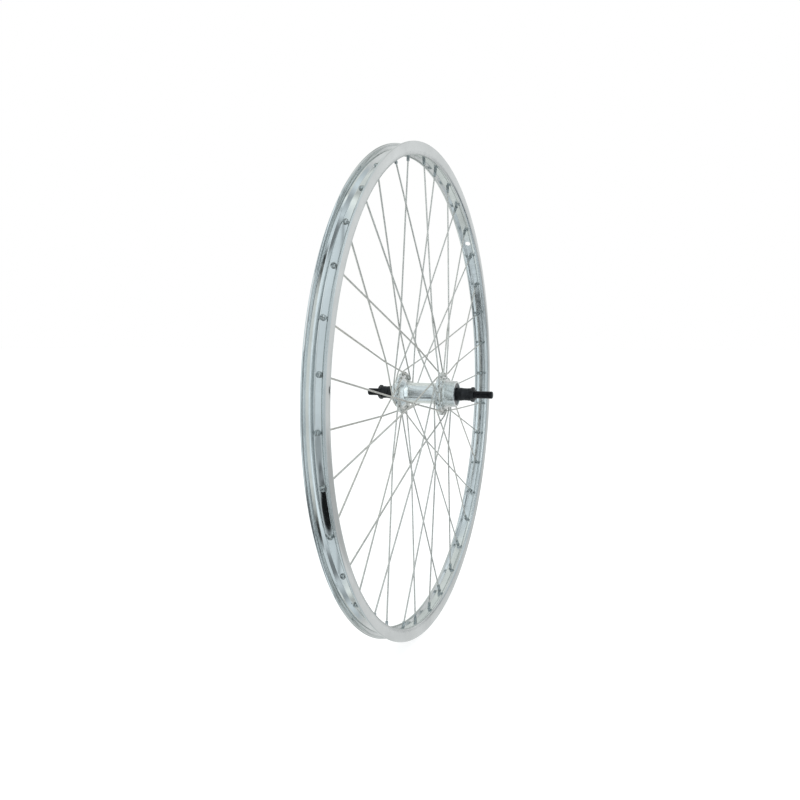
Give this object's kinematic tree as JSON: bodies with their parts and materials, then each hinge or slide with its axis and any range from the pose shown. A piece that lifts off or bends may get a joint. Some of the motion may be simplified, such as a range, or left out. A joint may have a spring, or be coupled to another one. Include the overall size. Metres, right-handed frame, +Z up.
{
  "type": "bicycle rear wheel",
  "caption": "Bicycle rear wheel without tyre: polished single-wall rim, tangentially laced wire spokes, an alloy hub with a threaded freewheel boss and a solid black axle.",
  "frame": {"origin": "middle of the wheel, where the hub's axis meets the rim's centre plane", "axes": "+Y along the axle towards the non-drive side, so the freewheel side is -Y; +X forward, +Z up"},
  "size_m": [0.634, 0.1753, 0.634],
  "materials": {
    "polished_rim": "mirror-polished",
    "hub_alloy": "bright turned",
    "spoke_zinc": "zinc-plated wire",
    "nipple_plated": "nickel-plated",
    "black_steel": "black oxide, satin",
    "dust_cap": "black, satin",
    "bearing_steel": "ground and polished"
  },
  "bodies": {
    "axle_assembly": {"axle": "black_steel", "drive_cone": "black_steel", "drive_spacer": "black_steel", "drive_lock_washer": "black_steel", "drive_locknut": "black_steel", "nondrive_cone": "black_steel", "nondrive_spacer": "black_steel", "nondrive_lock_washer": "black_steel", "nondrive_locknut": "black_steel"},
    "wheel": {"rim": "polished_rim", "hub_shell": "hub_alloy", "drive_spoke_01": "spoke_zinc", "drive_spoke_02": "spoke_zinc", "drive_spoke_03": "spoke_zinc", "drive_spoke_04": "spoke_zinc", "drive_spoke_05": "spoke_zinc", "drive_spoke_06": "spoke_zinc", "drive_spoke_07": "spoke_zinc", "drive_spoke_08": "spoke_zinc", "drive_spoke_09": "spoke_zinc", "drive_spoke_10": "spoke_zinc", "drive_spoke_11": "spoke_zinc", "drive_spoke_12": "spoke_zinc", "drive_spoke_13": "spoke_zinc", "drive_spoke_14": "spoke_zinc", "drive_spoke_15": "spoke_zinc", "drive_spoke_16": "spoke_zinc", "drive_spoke_17": "spoke_zinc", "drive_spoke_18": "spoke_zinc", "nondrive_spoke_01": "spoke_zinc", "nondrive_spoke_02": "spoke_zinc", "nondrive_spoke_03": "spoke_zinc", "nondrive_spoke_04": "spoke_zinc", "nondrive_spoke_05": "spoke_zinc", "nondrive_spoke_06": "spoke_zinc", "nondrive_spoke_07": "spoke_zinc", "nondrive_spoke_08": "spoke_zinc", "nondrive_spoke_09": "spoke_zinc", "nondrive_spoke_10": "spoke_zinc", "nondrive_spoke_11": "spoke_zinc", "nondrive_spoke_12": "spoke_zinc", "nondrive_spoke_13": "spoke_zinc", "nondrive_spoke_14": "spoke_zinc", "nondrive_spoke_15": "spoke_zinc", "nondrive_spoke_16": "spoke_zinc", "nondrive_spoke_17": "spoke_zinc", "nondrive_spoke_18": "spoke_zinc", "drive_bearing_cup": "bearing_steel", "nondrive_bearing_cup": "bearing_steel", "drive_dust_cap": "dust_cap", "nondrive_dust_cap": "dust_cap", "drive_ball_retainer": "bearing_steel", "nondrive_ball_retainer": "bearing_steel"}
  },
  "joints": [
    {"name": "wheel_spin", "type": "hinge", "parent": "axle_assembly", "child": "wheel", "pos_m": [0, 0, 0], "axis": [0, 1, 0], "continuous": true}
  ]
}
